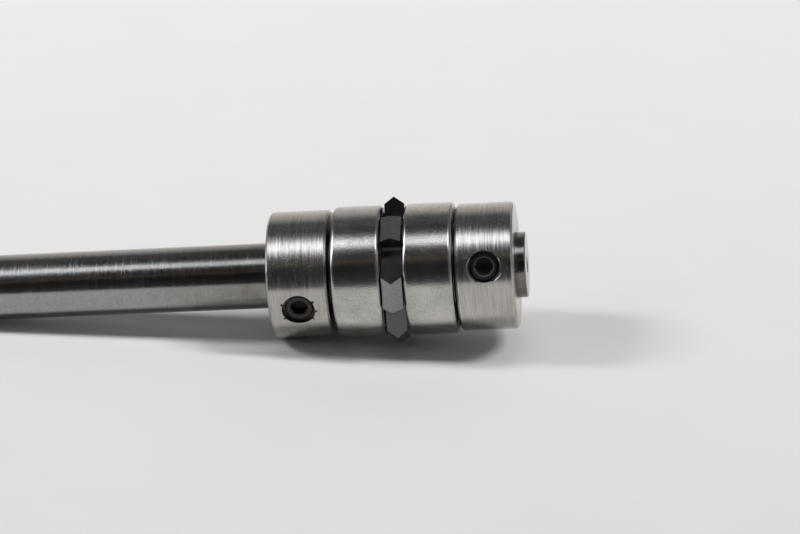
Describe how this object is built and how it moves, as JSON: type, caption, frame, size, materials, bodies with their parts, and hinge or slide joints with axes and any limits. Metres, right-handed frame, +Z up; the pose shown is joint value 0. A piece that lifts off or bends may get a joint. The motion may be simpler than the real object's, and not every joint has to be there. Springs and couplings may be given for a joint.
{
  "type": "bearing-guided v-cutter arbor",
  "caption": "Round shank carrying a toothed V-edged cutter wheel between two shielded ball bearings, held by set-screw shaft collars.",
  "frame": {"origin": "on the shaft's axis, at the outer face of the rear collar, where the clear shank ends", "axes": "+X along the shaft from the shank to the nose, +Z up as the tool lies on a table, -Y towards the side that shows both set screws"},
  "size_m": [0.0571, 0.014, 0.0136],
  "materials": {
    "ground_steel": "centreless-ground steel rod, glossy, with fine scratches round it",
    "turned_steel": "lathe-turned steel with fine tool lines round it",
    "bearing_steel": "fine-ground bearing steel with polished edges",
    "tool_steel": "dark ground tool steel",
    "black_oxide": "black oxide on alloy steel",
    "pressed_steel": "pressed sheet steel",
    "shim_steel": "rolled shim steel"
  },
  "bodies": {
    "arbor": {"shaft": "ground_steel", "rear_shim": "shim_steel", "rear_inner_ring": "bearing_steel", "rear_wheel_shim": "shim_steel", "v_wheel": "tool_steel", "nose_wheel_shim": "shim_steel", "nose_inner_ring": "bearing_steel", "nose_shim": "shim_steel"},
    "rear_guide": {"rear_outer_ring": "bearing_steel", "rear_outboard_shield": "pressed_steel", "rear_inboard_shield": "pressed_steel", "rear_outboard_snap_ring": "pressed_steel", "rear_inboard_snap_ring": "pressed_steel"},
    "rear_ball_set": {"rear_balls": "bearing_steel", "rear_cage": "pressed_steel"},
    "nose_guide": {"nose_outer_ring": "bearing_steel", "nose_inboard_shield": "pressed_steel", "nose_outboard_shield": "pressed_steel", "nose_inboard_snap_ring": "pressed_steel", "nose_outboard_snap_ring": "pressed_steel"},
    "nose_ball_set": {"nose_balls": "bearing_steel", "nose_cage": "pressed_steel"},
    "rear_clamp": {"rear_collar": "turned_steel"},
    "rear_clamp_screw": {"rear_set_screw": "black_oxide"},
    "nose_clamp": {"nose_collar": "turned_steel"},
    "nose_clamp_screw": {"nose_set_screw": "black_oxide"}
  },
  "joints": [
    {"name": "rear_guide_spin", "type": "hinge", "parent": "arbor", "child": "rear_guide", "pos_m": [0.00858, 0, 0], "axis": [1, 0, 0], "continuous": true},
    {"name": "rear_ball_orbit", "type": "hinge", "parent": "arbor", "child": "rear_ball_set", "pos_m": [0.00858, 0, 0], "axis": [1, 0, 0], "continuous": true},
    {"name": "nose_guide_spin", "type": "hinge", "parent": "arbor", "child": "nose_guide", "pos_m": [0.01549, 0, 0], "axis": [1, 0, 0], "continuous": true},
    {"name": "nose_ball_orbit", "type": "hinge", "parent": "arbor", "child": "nose_ball_set", "pos_m": [0.01549, 0, 0], "axis": [1, 0, 0], "continuous": true},
    {"name": "rear_collar_slide", "type": "slide", "parent": "arbor", "child": "rear_clamp", "axis": [-1, 0, 0], "range_m": [0, 0.025]},
    {"name": "rear_screw_travel", "type": "slide", "parent": "rear_clamp", "child": "rear_clamp_screw", "axis": [0, -0.9823, -0.1874], "range_m": [0, 0.0015]},
    {"name": "nose_collar_slide", "type": "slide", "parent": "arbor", "child": "nose_clamp", "axis": [1, 0, 0], "range_m": [0, 0.001]},
    {"name": "nose_screw_travel", "type": "slide", "parent": "nose_clamp", "child": "nose_clamp_screw", "axis": [0, -0.9178, 0.3971], "range_m": [0, 0.0015]}
  ],
  "couplings": [
    {"joint": "rear_ball_orbit", "follows": "rear_guide_spin", "ratio": 0.58333},
    {"joint": "nose_ball_orbit", "follows": "nose_guide_spin", "ratio": 0.58333}
  ]
}
